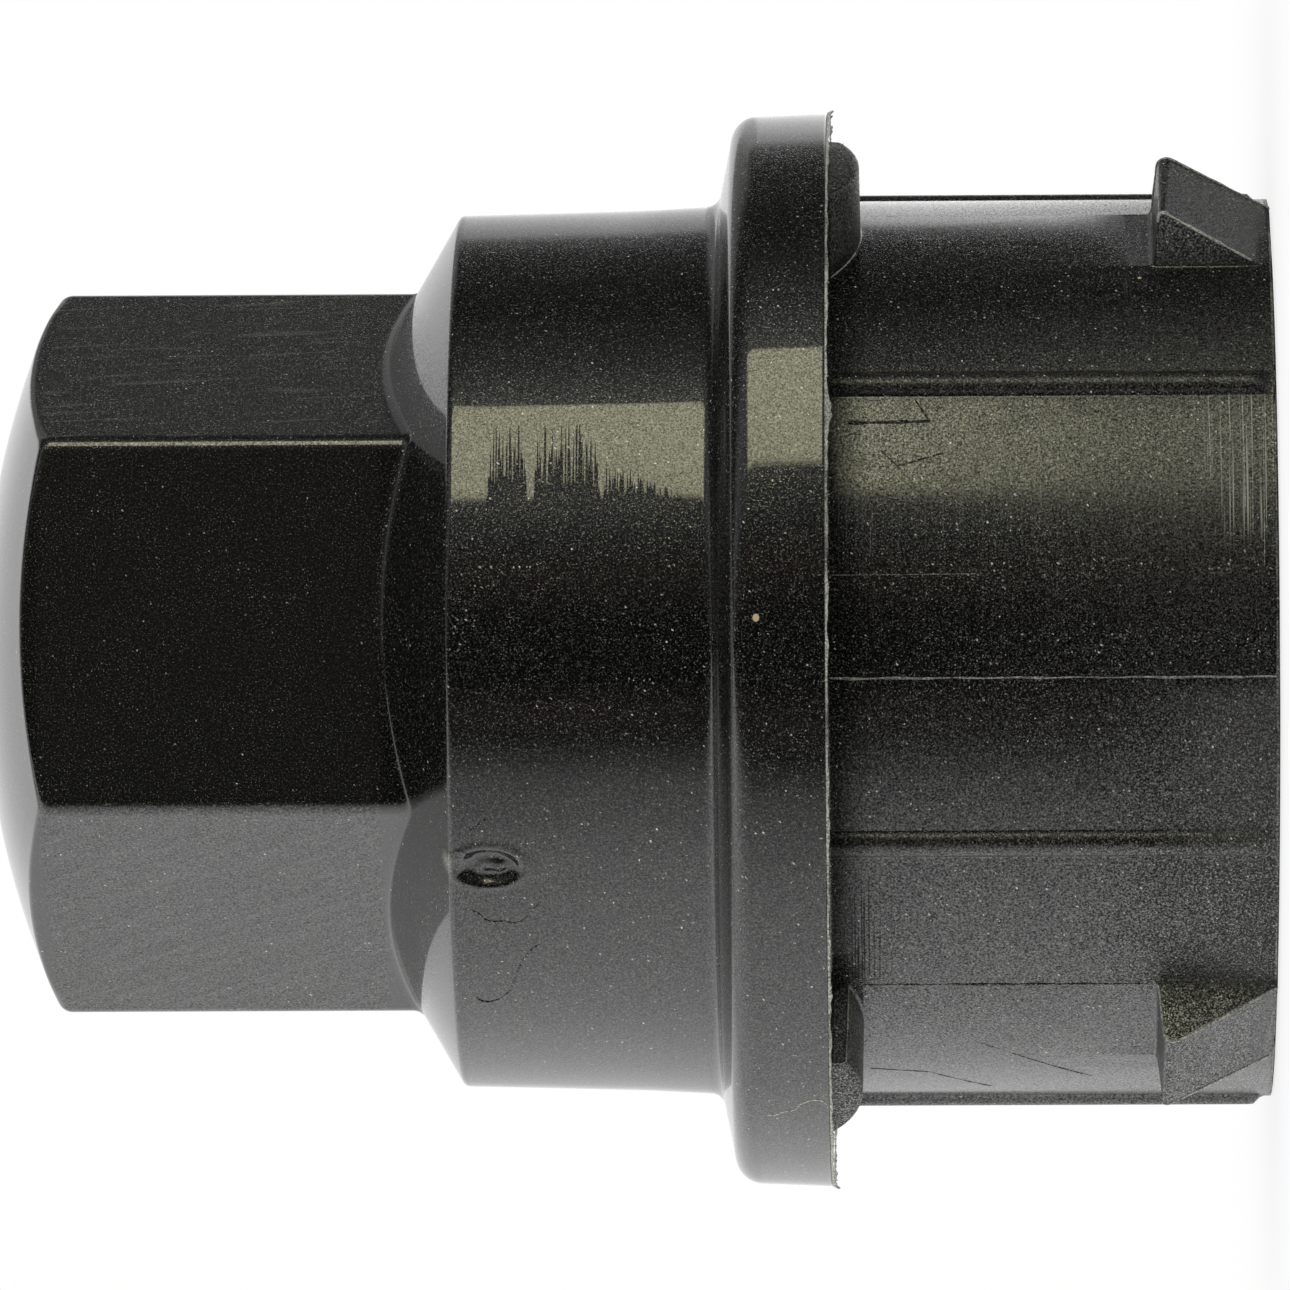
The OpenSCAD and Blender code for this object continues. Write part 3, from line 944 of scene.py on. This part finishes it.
def black_plastic():
    """Glossy black, by object position in mm, angle round the axis from the camera and height."""
    material = bpy.data.materials.new("black_plastic")
    material.use_nodes = True
    g = Graph(material.node_tree)
    shader = material.node_tree.nodes["Principled BSDF"]
    position = g.vector("SCALE", g.node("TexCoord").outputs["Object"], 1 / MM)
    _, _, theta = g.round_axis(position)
    x, _, z = g.node("SeparateXYZ", {"Vector": position}).outputs
    rough, grain, pale = g.trait("rough"), g.trait("grain"), g.trait("pale")
    head = g.window(z, SHOULDER_Z + 2.3, 0.4, CAP_H - 2.4, 0.4)
    skirt = g.ease(z, FLANGE_Z, FLANGE_Z - 0.1)

    # Colour: black with a fine grey grain, dust specks, rubbed lines, worn pale edges and painted
    # highlights
    fine = g.noise(position, FINE_GRAIN, 0.8)
    grit = g.noise(position, COARSE_GRAIN, 0.5)
    cloud = g.noise(position, 0.45, 0.6)
    grey = g.calc("ADD", g.ease(fine, 0.5, 0.74), g.ease(rough, 0.45, 0.75, 0.0, 0.45))
    grey = g.times(head, 0.13, grey)
    colour = g.mix(g.times(grey, g.times(grain, 0.8, 0.35)), BLACK, GREY_GRAIN)
    bent = g.vector("ADD", position, g.vector("SCALE", g.combine(fine, grit, fine), 0.12))
    large = dust_specks(g, bent, SPECK_CELLS, SPECK_SIZE, g.times(grain, 0.9, 0.05))
    dust = g.calc("MAXIMUM", g.ease(grit, 0.62, 0.76, 0.0, 0.22), large)
    dust = g.times(dust, g.ease(cloud, 0.3, 0.6, 0.5, 1.0))
    colour = g.mix(dust, colour, DUST)
    # Fine lines that run round the axis, faint all over the skirt and pale beside the rim below the
    # topmost rib
    lines = g.noise(g.combine(g.times(theta, 0.03), g.times(z, 13.0)), 1.0, 0.6)
    # Painted highlight: there the lines are painted pale where they mirror the softbox, as if they
    # caught its light
    painted_glint_band = g.times(g.window(theta, 12.0, 6.0, 33.4, 0.4), g.ease(z, 3.0, 1.2, 0.04, 1.0))
    rubbed_and_glinting = g.times(g.times(g.ease(lines, 0.54, 0.7), skirt), g.calc("ADD", painted_glint_band, 0.015))
    streaks = g.times(hex_streaks(g, x, theta, z), head)
    hex_lines = g.times(g.ease(streaks, 0.05, 0.22), g.ease(theta, *LOWER_TO_UPPER, 0.03, 0.1))
    colour = g.mix(g.calc("MAXIMUM", g.times(rubbed_and_glinting, 0.9), hex_lines), colour, RUBBED_AND_GLINT)
    # Pale flash, worn edges, lint and the gate's tip, and the painted highlight of the skirt's pale
    # scratches
    colour = g.mix(g.times(pale, g.ease(fine, 0.3, 0.7, 0.3, 1.0)), colour, WORN_EDGE_AND_GLINT)
    colour = g.mix(spots(g, theta, z), colour, TAN)
    g.plug(shader.inputs["Base Color"], colour)

    # Roughness: the moulding's own, uneven from grain to grain, and more under dust and rubbing
    level = g.times(rough, g.ease(grit, 0.3, 0.7, 0.5, 1.5))
    g.plug(shader.inputs["Roughness"], g.times(g.calc("MAXIMUM", dust, rubbed_and_glinting), 0.4, level))

    # Shine: grains, specks and streaks that shine more or less than the rest
    shine = g.times(fine, g.times(grain, 8.0, -1.8), g.times(grain, -4.0, 1.4))
    shine = g.times(large, 1.5, g.times(streaks, -0.3, shine))
    shine = g.times(g.times(head, g.calc("SUBTRACT", fine, 0.5)), 1.9, shine)
    # Dull lines scored into the skirt, and a painted shade that dims the skirt's reflection beside
    # the flange
    scored = g.times(g.window(theta, -50.0, 6.0, -26.0, 8.0), g.ease(z, 12.6, 14.4))
    scored = g.times(scored, g.ease(lines, 0.5, 0.4))
    scored_and_flange_shade = g.times(g.calc("MAXIMUM", scored, g.ease(z, 13.7, 15.2)),
                   g.times(skirt, g.ease(rough, 0.5, 0.4)))
    g.plug(shader.inputs["Specular IOR Level"],
           g.times(g.calc("MAXIMUM", shine, 0.1), g.times(scored_and_flange_shade, -0.85, 1.0)))

    # Relief: sparse raised grains on a smooth ground, in thousandths of a millimetre
    grains = g.calc("MAXIMUM", g.calc("SUBTRACT", grit, 0.57), 0.0)
    bump = g.node("Bump", {"Height": g.times(grains, g.times(grain, 40.0, 6.0)), "Strength": 1.0,
                           "Distance": 0.001 * MM, "Normal": feathered_normal(g, theta, z)})
    g.plug(shader.inputs["Normal"], bump.outputs[0])
    return material


plastic = black_plastic()
for piece in (cap, burrs, lint, thread):
    piece.data.materials.append(plastic)
    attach(piece, "root")
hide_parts("cap")


# Studio

# Brightness of the studio by direction round the cap's axis, in degrees from the camera towards
# the picture's top: the glow around the softbox from 36 to 80, the dark room past it, the white
# backdrop behind and the pale table below
STUDIO_LEVELS = [(-180, 1.0), (-161, 0.9), (-140, 1.41), (-127, 1.8), (-116, 2.0), (-98, 2.2),
                 (-83, 2.25), (-70, 2.15), (-57, 1.95), (-46, 1.5), (-40, 1.25), (-34, 0.97),
                 (-29, 0.5), (-23, 0.1), (-16, 0.13), (-8, 0.02), (8, 0.02), (20, 0.15),
                 (27, 0.15), (36, 0.36), (40, 0.5), (55, 0.8), (69, 0.6), (80, 0.28), (99, 0.06),
                 (128, 0.08), (137, 0.24), (142, 0.78), (150, 0.8), (164, 0.74)]
STUDIO_TOP_LEVEL = 3.0
# The levels at these angles are a little red
REDDISH = (-16, 20)
SOFTBOX_FROM = 38.8
SOFTBOX_TO = 67.4
SOFTBOX_LEVEL = 5.2
SOFTBOX_COLOUR = (1.0, 0.99, 0.64, 1)
WHITE = (1, 1, 1, 1)
# The floor is wide enough to fill the picture's edge, and lies a hair below the rim's plane
FLOOR_HALF = 3000.0
FLOOR_Z = -0.05
# For the camera most of the floor is as white as the backdrop, and the rest keeps the cap's shadow
FLOOR_WHITE = 0.8


def studio_world():
    """White for the camera, an even light for diffuse rays, and for reflections the studio."""
    world = bpy.data.worlds.new("studio")
    bpy.context.scene.world = world
    world.use_nodes = True
    world.cycles.sampling_method = "NONE"
    world.node_tree.nodes.clear()
    g = Graph(world.node_tree)
    way = g.node("TexCoord").outputs["Generated"]
    front, up, degrees = g.round_axis(way)
    axial = g.vector("DOT_PRODUCT", way, tuple(AXIS_UP), "Value")
    ramp = g.node("ValToRGB", {"Fac": g.times(degrees, 1 / 360, 0.5)})
    stops = ramp.color_ramp.elements
    stops[1].position = 1.0
    for angle, level in STUDIO_LEVELS[1:]:
        stops.new((angle + 180) / 360)
    for stop, (angle, level) in zip(stops, STUDIO_LEVELS + [(180, 1.0)]):
        shade = level / STUDIO_TOP_LEVEL
        red = 1.3 if angle in REDDISH else 1.0
        stop.color = (shade * red, shade, shade / red, 1)
    # Towards the dome's side the backdrop is brighter
    sideways = g.times(g.ease(axial, 0.12, 0.36), g.ease(front, -0.35, -0.6))
    aside = g.times(g.ease(up, 0.34, 0.26, 0.28, 1.0),
                    g.ease(front, -0.65, -0.92, 1.6 / STUDIO_TOP_LEVEL, 1.15 / STUDIO_TOP_LEVEL))
    colour = g.mix(sideways, ramp.outputs[0], g.combine(aside, aside, aside))
    # Behind the skirt and towards its open end it is brighter too
    behind = g.times(g.ease(axial, 0.07, -0.02), g.ease(front, -0.55, -0.85))
    behind = g.times(behind, g.ease(up, -0.2, 0.2, 0.2, 1.3))
    colour = g.vector("SCALE", colour, g.calc("ADD", behind, 1.0))
    room = g.node("Background", {"Color": colour, "Strength": STUDIO_TOP_LEVEL})
    across = g.window(degrees, SOFTBOX_FROM, 2.8, SOFTBOX_TO, 0.8)
    ends = g.times(across, g.window(axial, -0.05, 0.08, 0.46, 0.12))
    softbox = g.node("Background", {"Color": SOFTBOX_COLOUR,
                                    "Strength": g.times(ends, SOFTBOX_LEVEL)})
    studio = g.node("AddShader", {0: room.outputs[0], 1: softbox.outputs[0]})
    plain = g.node("Background", {"Color": WHITE, "Strength": 1.0})
    path = g.node("LightPath")
    mirrored = g.calc("MAXIMUM", path.outputs["Is Glossy Ray"], path.outputs["Is Transmission Ray"])
    mix = g.node("MixShader", {0: mirrored, 1: plain.outputs[0], 2: studio.outputs[0]})
    g.node("OutputWorld", {"Surface": mix.outputs[0]})


def studio_floor():
    """A white floor on which the cap stands."""
    half = FLOOR_HALF
    corners = [(-half, -half, FLOOR_Z), (half, -half, FLOOR_Z), (half, half, FLOOR_Z),
               (-half, half, FLOOR_Z)]
    floor = mesh_object("floor", corners, [(0, 1, 2, 3)])
    floor.visible_glossy = False
    material = bpy.data.materials.new("floor_white")
    material.use_nodes = True
    g = Graph(material.node_tree)
    shader = material.node_tree.nodes["Principled BSDF"]
    for name, value in (("Base Color", WHITE), ("Roughness", 1.0), ("Specular IOR Level", 0.0)):
        shader.inputs[name].default_value = value
    white = g.node("Emission", {"Color": WHITE, "Strength": 1.0})
    seen = g.times(g.node("LightPath").outputs["Is Camera Ray"], FLOOR_WHITE)
    mix = g.node("MixShader", {0: seen, 1: shader.outputs[0], 2: white.outputs[0]})
    g.plug(material.node_tree.nodes["Material Output"].inputs["Surface"], mix.outputs[0])
    floor.data.materials.append(material)


# The photograph's width and places in it in pixels, with x from the left and y from the top, the
# camera's distance from the cap's axis in the same pixels, and the length of one in mm there
PICTURE_PX = 1290
PX = 0.03504
RIM_X_PX = 1268
CAMERA_X_PX = 943
CAMERA_PX = 12426
AXIS_Y_PX = 650.3
# How far the cap's axis is turned in the picture, in degrees
AXIS_TILT = 0.28
SENSOR = 36.0


def camera():
    """The photograph's camera, rolled a quarter turn: the cap's axis runs across the picture."""
    middle = PICTURE_PX / 2
    place = TOWARDS_CAMERA * CAMERA_PX * PX + AXIS_UP * (RIM_X_PX - CAMERA_X_PX) * PX
    target = AXIS_UP * (RIM_X_PX - middle) * PX + PICTURE_UP * (AXIS_Y_PX - middle) * PX
    back = (place - target).normalized()
    tilt = rad(AXIS_TILT)
    up = PICTURE_UP * math.cos(tilt) - AXIS_UP * math.sin(tilt)
    up = (up - back * up.dot(back)).normalized()
    right = up.cross(back)
    data = bpy.data.cameras.new("camera")
    data.sensor_width = SENSOR
    data.lens = SENSOR * (place - target).length / PX / PICTURE_PX
    data.clip_start, data.clip_end = 0.01, 20
    made = add_object("camera", data)
    turn = Matrix((right, up, back)).transposed().to_4x4()
    made.matrix_world = Matrix.Translation(place * MM) @ turn
    bpy.context.scene.camera = made


studio_world()
studio_floor()
camera()
bpy.context.scene.view_settings.view_transform = "Standard"
